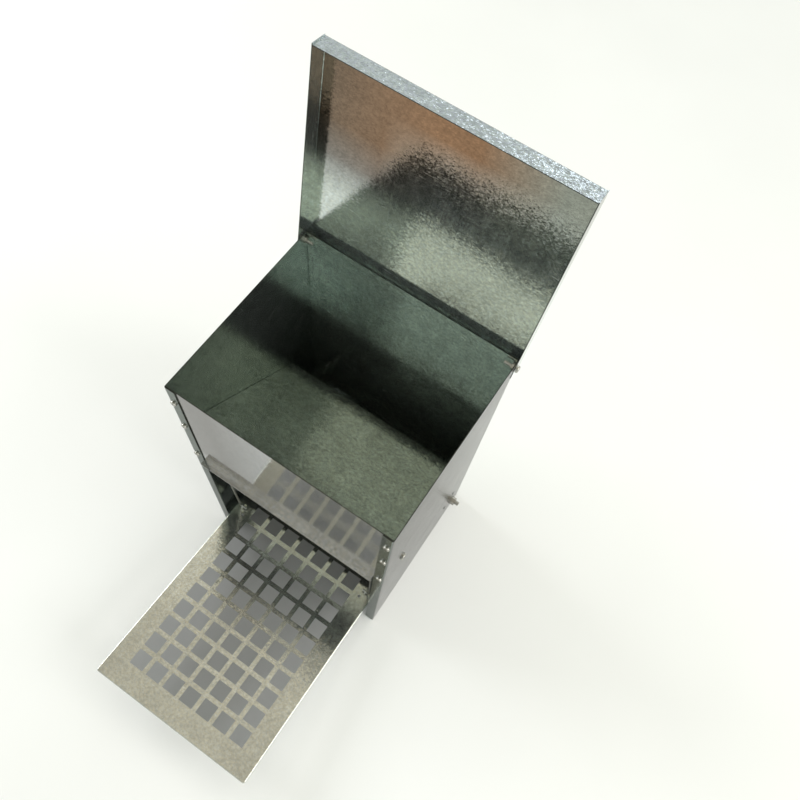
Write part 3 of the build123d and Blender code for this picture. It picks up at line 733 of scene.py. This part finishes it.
def coil(x, y, bottom, top, radius):
    """Points of a close-wound coil about Z, which narrows to nothing at both ends."""
    turns = round((top - bottom) / SPRING_PITCH)
    points = []
    for step in range(turns * SPRING_POINTS + 1):
        share = step / (turns * SPRING_POINTS)
        angle = 2 * math.pi * turns * share
        grow = min(1.0, SPRING_GROWTH * turns * min(share, 1 - share))
        reach = radius * grow
        z = bottom + (top - bottom) * share
        points.append(Vector((x + reach * math.cos(angle), y + reach * math.sin(angle), z)))
    return points


def extension_spring(side):
    """A close-wound spring with a loop round the pin at each end."""
    node = f"return_spring_{side}"
    low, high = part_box(node)
    coil_radius = (high.x - low.x) / 2 - SPRING_WIRE
    loop_radius = (high.y - low.y) / 2 - SPRING_WIRE
    x, y = middle_of(node).x, middle_of(node).y
    foot = Vector((x, y, low.z + SPRING_WIRE + loop_radius))
    head = Vector((x, y, high.z - SPRING_WIRE - loop_radius))
    coil_start = foot.z + loop_radius + coil_radius
    coil_stop = head.z - loop_radius - coil_radius
    points = arc(foot, loop_radius, 90 + SPRING_LOOP_GAP, 90 + 360, SPRING_LOOP_STEPS)
    points += coil(x, y, coil_start, coil_stop, coil_radius)
    points += arc(head, loop_radius, -90, 270 - SPRING_LOOP_GAP, SPRING_LOOP_STEPS)
    piece = tube(f"coiled_spring_{side}", points, SPRING_WIRE, 2, WIRE)
    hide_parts(node)
    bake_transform(piece)


def screw_thread(name, start, stop, radius, body):
    """A thread's ridge, wound about a rod that lies along X, which sinks into it at both ends."""
    turns = abs(stop.x - start.x) / THREAD_PITCH
    steps = int(turns * THREAD_POINTS)
    ridge = THREAD_RIDGE_SHARE * THREAD_PITCH
    points = []
    for step in range(steps + 1):
        share = step / steps
        angle = 2 * math.pi * turns * share
        rise = min(1.0, THREAD_GROWTH * turns * share, THREAD_GROWTH * turns * (1 - share))
        reach = radius - ridge * (THREAD_SUNK_AT_ENDS - THREAD_RISE * rise)
        x = start.x + (stop.x - start.x) * share
        points.append(Vector((x, start.y + reach * math.cos(angle), start.z + reach * math.sin(angle))))
    piece = tube(name, points, ridge, 1, FASTENER)
    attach(piece, body)


def add_threads():
    """Threads on the ends of the treadle's pivot rod, outside its nuts."""
    pivot = joint_place("treadle_pivot")
    rod_low, rod_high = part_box("treadle_pivot_rod")
    nuts_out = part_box("treadle_pivot_nuts")[1].x
    radius = (rod_high.z - rod_low.z) / 2 + THREAD_PROUD
    for side, sign in SIDES:
        inner = Vector((sign * (nuts_out - THREAD_INSIDE_NUT), pivot.y, pivot.z))
        outer = Vector((sign * (rod_high.x - THREAD_FROM_ROD_END), pivot.y, pivot.z))
        screw_thread(f"pivot_rod_thread_{side}", inner, outer, radius, "housing")


# ---- studio ------------------------------------------------------------------------------


def make_floor():
    """A large flat floor."""
    bpy.ops.mesh.primitive_plane_add(size=FLOOR_SIZE)
    floor = bpy.context.object
    floor.name = "floor"
    floor.data.materials.append(floor_finish())


def area_light(name, place, aim, size, power, colour):
    """A rectangular soft light that faces a point."""
    data = bpy.data.lights.new(name, "AREA")
    data.shape = "RECTANGLE"
    data.size, data.size_y = size
    data.energy = power
    data.color = colour
    light = bpy.data.objects.new(name, data)
    bpy.context.scene.collection.objects.link(light)
    light.location = place
    light.rotation_euler = (Vector(aim) - Vector(place)).to_track_quat("-Z", "Y").to_euler()


def towards(azimuth, elevation):
    """A direction: azimuth 0 is the front and 90 the right."""
    turn = math.radians(azimuth)
    rise = math.radians(elevation)
    return Vector((math.sin(turn) * math.cos(rise), -math.cos(turn) * math.cos(rise), math.sin(rise)))


def studio_world():
    """A pale horizon, a band that is darker in front, a cream dome and a soft glow high behind.

    High up, the sky is brighter towards the right.
    """
    world = bpy.data.worlds.new("studio")
    world.use_nodes = True
    tree = world.node_tree
    direction = add_node(tree, "TexCoord").outputs["Generated"]
    right = part_of(tree, direction, 0)
    back = part_of(tree, direction, 1)
    height = part_of(tree, direction, 2)
    band = mixed(tree, fade(tree, back, FRONT_TO_BACK), FRONT_SKY, BACK_SKY)
    upper = mixed(tree, fade(tree, height, SKY_TO_DOME), band, DOME)
    sky = mixed(tree, fade(tree, height, HORIZON_TO_SKY), HORIZON, upper)
    glow = product(tree, fade(tree, height, GLOW_HEIGHT), fade(tree, back, GLOW_BACKWARD))
    sky = mixed(tree, glow, sky, GLOW)
    brighter = scaled(tree, sky, mapped(tree, right, BRIGHT_RIGHT, 1.0, BRIGHT_RIGHT_TIMES))
    sky = mixed(tree, fade(tree, height, BRIGHT_HEIGHT), sky, brighter)
    tree.links.new(sky, tree.nodes["Background"].inputs["Color"])
    bpy.context.scene.world = world


def make_lights():
    """A soft sheet of light on each side, a small window in front and a bluish one behind."""
    aim = Vector((0, BODY_MIDDLE_Y, BODY_HIGH.z / 2))
    area_light(
        "left_sheet",
        place=(-2.3, 0.0, 1.5),
        aim=aim,
        size=(1.6, 1.2),
        power=34,
        colour=(0.97, 0.98, 1.0),
    )
    area_light(
        "right_sheet",
        place=(2.3, 0.2, 1.5),
        aim=aim,
        size=(1.6, 1.2),
        power=30,
        colour=(1.0, 0.99, 0.97),
    )
    area_light(
        "front_window",
        place=aim + WINDOW_DISTANCE * towards(azimuth=26, elevation=38),
        aim=aim,
        size=(0.32, 0.32),
        power=1.0,
        colour=(0.95, 1.0, 1.0),
    )
    area_light(
        "back_window",
        place=(0.25, 2.6, 1.7),
        aim=aim,
        size=(0.8, 0.9),
        power=4.5,
        colour=(0.90, 0.95, 1.0),
    )


def make_camera():
    """The photograph's view: high over the front right, looking down at the open hopper."""
    data = bpy.data.cameras.new("camera")
    data.lens = CAMERA_LENS
    data.sensor_width = CAMERA_SENSOR
    camera = bpy.data.objects.new("camera", data)
    bpy.context.scene.collection.objects.link(camera)
    camera.location = (CAMERA_RIGHT, BODY_MIDDLE_Y - CAMERA_FORWARD, CAMERA_HEIGHT)
    camera.rotation_euler = [math.radians(angle) for angle in CAMERA_TURN]
    bpy.context.scene.camera = camera


bpy.context.scene.view_settings.view_transform = "Standard"
dress_sheets()
dress_small_parts()
for side, _ in SIDES:
    extension_spring(side)
add_threads()
make_floor()
studio_world()
make_lights()
make_camera()
